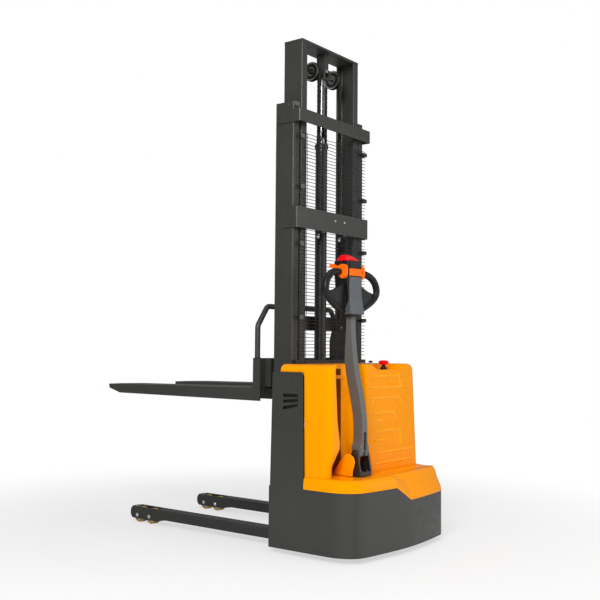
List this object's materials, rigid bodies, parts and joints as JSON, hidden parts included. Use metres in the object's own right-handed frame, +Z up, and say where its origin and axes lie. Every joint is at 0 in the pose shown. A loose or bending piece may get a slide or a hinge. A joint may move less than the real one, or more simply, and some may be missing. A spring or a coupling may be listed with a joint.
{
  "type": "walkie stacker",
  "caption": "Pedestrian electric stacker with a two-stage mast, wire guard, fork-over blades, straddling front legs, amber power unit cover and an upright steering tiller.",
  "frame": {"origin": "centre of the bounding box in plan, at floor level", "axes": "+Z up, +Y toward the fork tips, +X toward the truck's right as the operator sees it"},
  "size_m": [0.788, 1.752, 2.445],
  "materials": {
    "mast_paint": "satin dark grey powder coat",
    "shell_paint": "satin dark grey powder coat",
    "cover_yellow": "glossy amber moulding",
    "guard_black": "black coated wire",
    "rod_chrome": "hard chrome, polished",
    "roller_steel": "machined steel, greased",
    "chain_steel": "oiled dark steel",
    "tread_yellow": "amber polyurethane",
    "tread_grey": "dark polyurethane",
    "control_black": "fine textured black",
    "control_orange": "smooth orange",
    "control_red": "smooth red",
    "arm_grey": "satin grey",
    "pack_case": "moulded case",
    "drive_metal": "painted casting"
  },
  "bodies": {
    "chassis": {"outer_rail_left": "mast_paint", "outer_rail_right": "mast_paint", "crossbar_top": "mast_paint", "crossbar_mid": "mast_paint", "crossbar_base": "mast_paint", "mesh_guard": "guard_black", "guard_sill": "guard_black", "lift_cylinder": "guard_black", "chassis_frame": "mast_paint", "leg_left": "mast_paint", "leg_right": "mast_paint", "lower_shell": "shell_paint", "ledge_cover": "cover_yellow", "upper_cover": "cover_yellow", "battery": "pack_case", "hydraulic_unit": "drive_metal", "estop_base": "control_black", "key_barrel": "roller_steel", "chain_rear_left": "chain_steel", "chain_rear_right": "chain_steel"},
    "inner_mast": {"inner_rail_left": "mast_paint", "inner_rail_right": "mast_paint", "inner_top_plate": "mast_paint", "inner_foot_tie": "mast_paint", "piston_rod": "rod_chrome", "lift_yoke": "mast_paint", "pulley_axle": "roller_steel", "chain_front_left": "chain_steel", "chain_front_right": "chain_steel"},
    "carriage": {"carriage": "mast_paint", "fork_left": "mast_paint", "fork_right": "mast_paint", "backrest": "mast_paint"},
    "steering": {"tiller_base": "arm_grey", "drive_unit": "drive_metal"},
    "tiller": {"tiller_arm": "arm_grey", "tiller_head": "control_black", "handle_loop": "control_black", "gas_spring": "control_black"},
    "mast_roller_left": {"mast_roller_left": "roller_steel"},
    "chain_pulley_left": {"chain_pulley_left": "roller_steel"},
    "carriage_roller_low_left": {"carriage_roller_low_left": "roller_steel"},
    "carriage_roller_high_left": {"carriage_roller_high_left": "roller_steel"},
    "load_wheel_front_left": {"load_wheel_front_left": "tread_yellow"},
    "load_wheel_rear_left": {"load_wheel_rear_left": "tread_yellow"},
    "mast_roller_right": {"mast_roller_right": "roller_steel"},
    "chain_pulley_right": {"chain_pulley_right": "roller_steel"},
    "carriage_roller_low_right": {"carriage_roller_low_right": "roller_steel"},
    "carriage_roller_high_right": {"carriage_roller_high_right": "roller_steel"},
    "load_wheel_front_right": {"load_wheel_front_right": "tread_yellow"},
    "load_wheel_rear_right": {"load_wheel_rear_right": "tread_yellow"},
    "drive_wheel": {"drive_wheel": "tread_grey"},
    "caster_fork": {"caster_fork": "roller_steel"},
    "caster_wheel": {"caster_wheel": "tread_grey"},
    "throttle": {"throttle": "control_orange"},
    "belly_button": {"belly_button": "control_red"},
    "lift_rocker": {"lift_rocker": "control_orange"},
    "estop_button": {"estop_button": "control_red"},
    "key": {"key": "roller_steel"}
  },
  "joints": [
    {"name": "mast_lift", "type": "slide", "parent": "chassis", "child": "inner_mast", "axis": [0, 0, 1], "range_m": [-0.325, 1.1275], "deforming": ["chain_rear_left", "chain_rear_right"]},
    {"name": "carriage_lift", "type": "slide", "parent": "inner_mast", "child": "carriage", "axis": [0, 0, 1], "range_m": [-0.325, 1.1275], "deforming": ["chain_front_left", "chain_front_right"]},
    {"name": "mast_roller_left_spin", "type": "hinge", "parent": "inner_mast", "child": "mast_roller_left", "pos_m": [-0.268, -0.3587, 0.4635], "axis": [1, 0, 0], "continuous": true},
    {"name": "chain_pulley_left_spin", "type": "hinge", "parent": "inner_mast", "child": "chain_pulley_left", "pos_m": [-0.09, -0.364, 2.324], "axis": [1, 0, 0], "continuous": true},
    {"name": "carriage_roller_low_left_spin", "type": "hinge", "parent": "carriage", "child": "carriage_roller_low_left", "pos_m": [-0.217, -0.3637, 0.858], "axis": [1, 0, 0], "continuous": true},
    {"name": "carriage_roller_high_left_spin", "type": "hinge", "parent": "carriage", "child": "carriage_roller_high_left", "pos_m": [-0.217, -0.3637, 1.044], "axis": [1, 0, 0], "continuous": true},
    {"name": "load_wheel_front_left_spin", "type": "hinge", "parent": "chassis", "child": "load_wheel_front_left", "pos_m": [-0.25465, 0.639, 0.04], "axis": [1, 0, 0], "continuous": true},
    {"name": "load_wheel_rear_left_spin", "type": "hinge", "parent": "chassis", "child": "load_wheel_rear_left", "pos_m": [-0.25465, 0.548, 0.04], "axis": [1, 0, 0], "continuous": true},
    {"name": "mast_roller_right_spin", "type": "hinge", "parent": "inner_mast", "child": "mast_roller_right", "pos_m": [0.268, -0.3587, 0.4635], "axis": [1, 0, 0], "continuous": true},
    {"name": "chain_pulley_right_spin", "type": "hinge", "parent": "inner_mast", "child": "chain_pulley_right", "pos_m": [0.09, -0.364, 2.324], "axis": [1, 0, 0], "continuous": true},
    {"name": "carriage_roller_low_right_spin", "type": "hinge", "parent": "carriage", "child": "carriage_roller_low_right", "pos_m": [0.217, -0.3637, 0.858], "axis": [1, 0, 0], "continuous": true},
    {"name": "carriage_roller_high_right_spin", "type": "hinge", "parent": "carriage", "child": "carriage_roller_high_right", "pos_m": [0.217, -0.3637, 1.044], "axis": [1, 0, 0], "continuous": true},
    {"name": "load_wheel_front_right_spin", "type": "hinge", "parent": "chassis", "child": "load_wheel_front_right", "pos_m": [0.25465, 0.639, 0.04], "axis": [1, 0, 0], "continuous": true},
    {"name": "load_wheel_rear_right_spin", "type": "hinge", "parent": "chassis", "child": "load_wheel_rear_right", "pos_m": [0.25465, 0.548, 0.04], "axis": [1, 0, 0], "continuous": true},
    {"name": "steer", "type": "hinge", "parent": "chassis", "child": "steering", "pos_m": [-0.195, -0.714, 0.3], "axis": [0, 0, 1], "range_deg": [-69, 81]},
    {"name": "drive_wheel_spin", "type": "hinge", "parent": "steering", "child": "drive_wheel", "pos_m": [-0.195, -0.714, 0.105], "axis": [0.9945, -0.1045, 0], "continuous": true},
    {"name": "tiller_tilt", "type": "hinge", "parent": "steering", "child": "tiller", "pos_m": [-0.19761, -0.73886, 0.462], "axis": [0.9945, -0.1045, 0], "range_deg": [0, 75]},
    {"name": "caster_swivel", "type": "hinge", "parent": "chassis", "child": "caster_fork", "pos_m": [0.225, -0.704, 0.2], "axis": [0, 0, 1], "continuous": true},
    {"name": "caster_spin", "type": "hinge", "parent": "caster_fork", "child": "caster_wheel", "pos_m": [0.225, -0.739, 0.062], "axis": [1, 0, 0], "continuous": true},
    {"name": "throttle_turn", "type": "hinge", "parent": "tiller", "child": "throttle", "pos_m": [-0.19061, -0.67223, 1.292], "axis": [0.9945, -0.1045, 0], "range_deg": [-20, 20], "stiffness_Nm_per_rad": 4},
    {"name": "belly_press", "type": "slide", "parent": "tiller", "child": "belly_button", "axis": [0, 0, -1], "range_m": [0, 0.006], "stiffness_N_per_m": 1500, "springref_m": -0.004},
    {"name": "rocker_tilt", "type": "hinge", "parent": "tiller", "child": "lift_rocker", "pos_m": [-0.19411, -0.70555, 1.291], "axis": [0.9945, -0.1045, 0], "range_deg": [-6, 6], "stiffness_Nm_per_rad": 4},
    {"name": "estop_press", "type": "slide", "parent": "chassis", "child": "estop_button", "axis": [0, 0, -1], "range_m": [0, 0.005]},
    {"name": "key_turn", "type": "hinge", "parent": "chassis", "child": "key", "pos_m": [-0.008, -0.669, 0.876], "axis": [0, 0, 1], "range_deg": [0, 90]}
  ],
  "couplings": [
    {"joint": "carriage_lift", "follows": "mast_lift", "ratio": 1},
    {"joint": "mast_roller_left_spin", "follows": "mast_lift", "rad_per_m": 24.39},
    {"joint": "chain_pulley_left_spin", "follows": "mast_lift", "rad_per_m": 21.978},
    {"joint": "carriage_roller_low_left_spin", "follows": "mast_lift", "rad_per_m": 25},
    {"joint": "carriage_roller_high_left_spin", "follows": "mast_lift", "rad_per_m": 25},
    {"joint": "mast_roller_right_spin", "follows": "mast_lift", "rad_per_m": 24.39},
    {"joint": "chain_pulley_right_spin", "follows": "mast_lift", "rad_per_m": 21.978},
    {"joint": "carriage_roller_low_right_spin", "follows": "mast_lift", "rad_per_m": 25},
    {"joint": "carriage_roller_high_right_spin", "follows": "mast_lift", "rad_per_m": 25}
  ]
}
